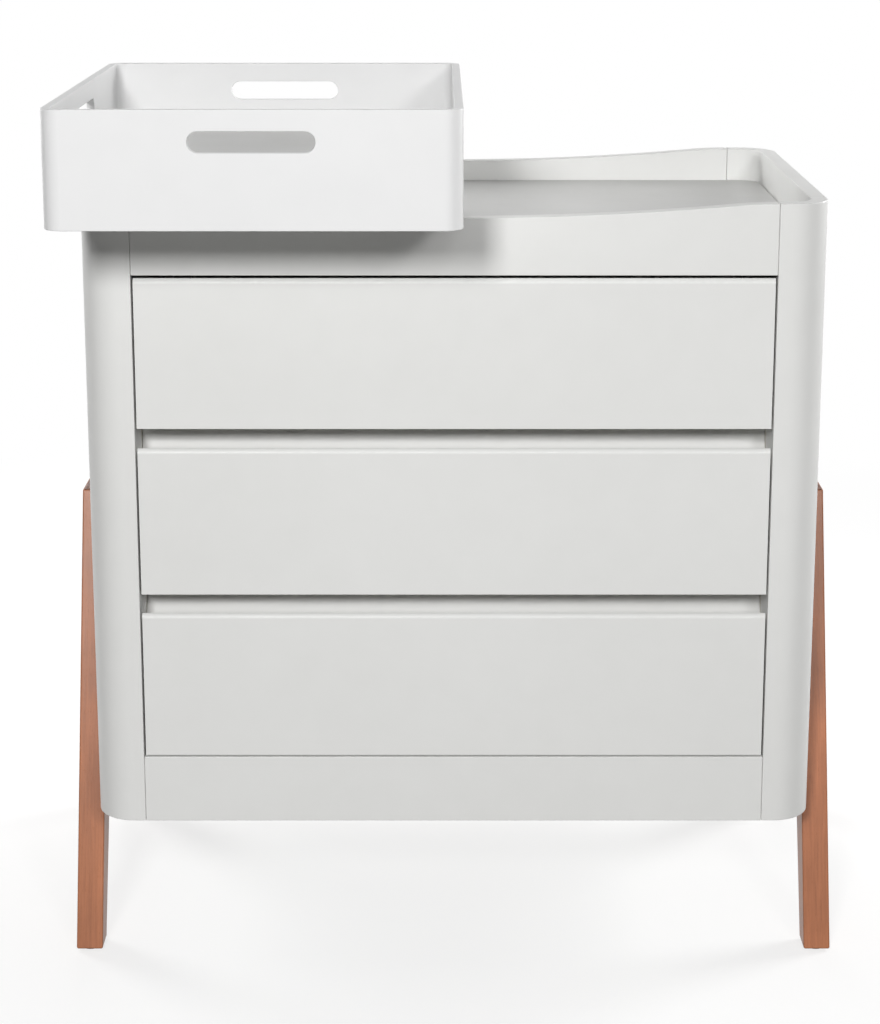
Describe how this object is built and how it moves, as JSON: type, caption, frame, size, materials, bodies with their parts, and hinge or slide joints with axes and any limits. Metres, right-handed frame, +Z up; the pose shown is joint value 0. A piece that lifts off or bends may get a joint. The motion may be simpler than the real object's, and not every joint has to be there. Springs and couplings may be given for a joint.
{
  "type": "changing table",
  "caption": "Chest of drawers with rounded posts, a dipped gallery round a recessed top, inverted-V wooden legs and a lift-off changing tray with handle slots.",
  "frame": {"origin": "on the floor at the middle of the whole object's box", "axes": "+Z up, +Y towards the wall behind, so the drawers face -Y, and +X to the right seen from the front"},
  "size_m": [0.979, 0.772, 1.1173],
  "materials": {
    "white_lacquer": "satin white lacquer on board",
    "tray_lacquer": "satin bright white lacquer on board",
    "drawer_board": "plain off-white faced board",
    "stained_wood": "copper-brown stained wood, satin",
    "runner_steel": "zinc-plated sheet",
    "bolt_steel": "plain steel",
    "glide_plastic": "matt dark nylon"
  },
  "bodies": {
    "chest": {"corner_post_front_left": "white_lacquer", "corner_post_front_right": "white_lacquer", "corner_post_rear_left": "white_lacquer", "corner_post_rear_right": "white_lacquer", "changing_top": "white_lacquer", "front_top_rail": "white_lacquer", "rear_top_rail": "white_lacquer", "side_panel_left": "white_lacquer", "side_panel_right": "white_lacquer", "front_plinth_rail": "white_lacquer", "finger_rail_over_lower_drawer": "white_lacquer", "finger_rail_over_middle_drawer": "white_lacquer", "runner_liner_left": "drawer_board", "runner_liner_right": "drawer_board", "bottom_panel": "drawer_board", "back_panel": "drawer_board", "leg_front_left": "stained_wood", "leg_bolt_front_left": "bolt_steel", "glide_front_left": "glide_plastic", "leg_front_right": "stained_wood", "leg_bolt_front_right": "bolt_steel", "glide_front_right": "glide_plastic", "leg_rear_left": "stained_wood", "leg_bolt_rear_left": "bolt_steel", "glide_rear_left": "glide_plastic", "leg_rear_right": "stained_wood", "leg_bolt_rear_right": "bolt_steel", "glide_rear_right": "glide_plastic", "lower_runner_fixed_left": "runner_steel", "lower_runner_fixed_right": "runner_steel", "middle_runner_fixed_left": "runner_steel", "middle_runner_fixed_right": "runner_steel", "upper_runner_fixed_left": "runner_steel", "upper_runner_fixed_right": "runner_steel"},
    "lower_drawer": {"lower_drawer_front": "white_lacquer", "lower_drawer_back": "drawer_board", "lower_drawer_bottom": "drawer_board", "lower_drawer_side_left": "drawer_board", "lower_runner_moving_left": "runner_steel", "lower_drawer_side_right": "drawer_board", "lower_runner_moving_right": "runner_steel"},
    "middle_drawer": {"middle_drawer_front": "white_lacquer", "middle_drawer_back": "drawer_board", "middle_drawer_bottom": "drawer_board", "middle_drawer_side_left": "drawer_board", "middle_runner_moving_left": "runner_steel", "middle_drawer_side_right": "drawer_board", "middle_runner_moving_right": "runner_steel"},
    "upper_drawer": {"upper_drawer_front": "white_lacquer", "upper_drawer_back": "drawer_board", "upper_drawer_bottom": "drawer_board", "upper_drawer_side_left": "drawer_board", "upper_runner_moving_left": "runner_steel", "upper_drawer_side_right": "drawer_board", "upper_runner_moving_right": "runner_steel"},
    "tray": {"tray_wall_front_right": "tray_lacquer", "tray_wall_rear_left": "tray_lacquer", "tray_base": "tray_lacquer", "tray_batten_left": "tray_lacquer", "tray_batten_right": "tray_lacquer"}
  },
  "joints": [
    {"name": "lower_drawer_slide", "type": "slide", "parent": "chest", "child": "lower_drawer", "axis": [0, -1, 0], "range_m": [0, 0.3]},
    {"name": "middle_drawer_slide", "type": "slide", "parent": "chest", "child": "middle_drawer", "axis": [0, -1, 0], "range_m": [0, 0.3]},
    {"name": "upper_drawer_slide", "type": "slide", "parent": "chest", "child": "upper_drawer", "axis": [0, -1, 0], "range_m": [0, 0.3]},
    {"name": "tray_lift", "type": "slide", "parent": "chest", "child": "tray", "axis": [0, 0, 1], "range_m": [0, 0.15]}
  ]
}
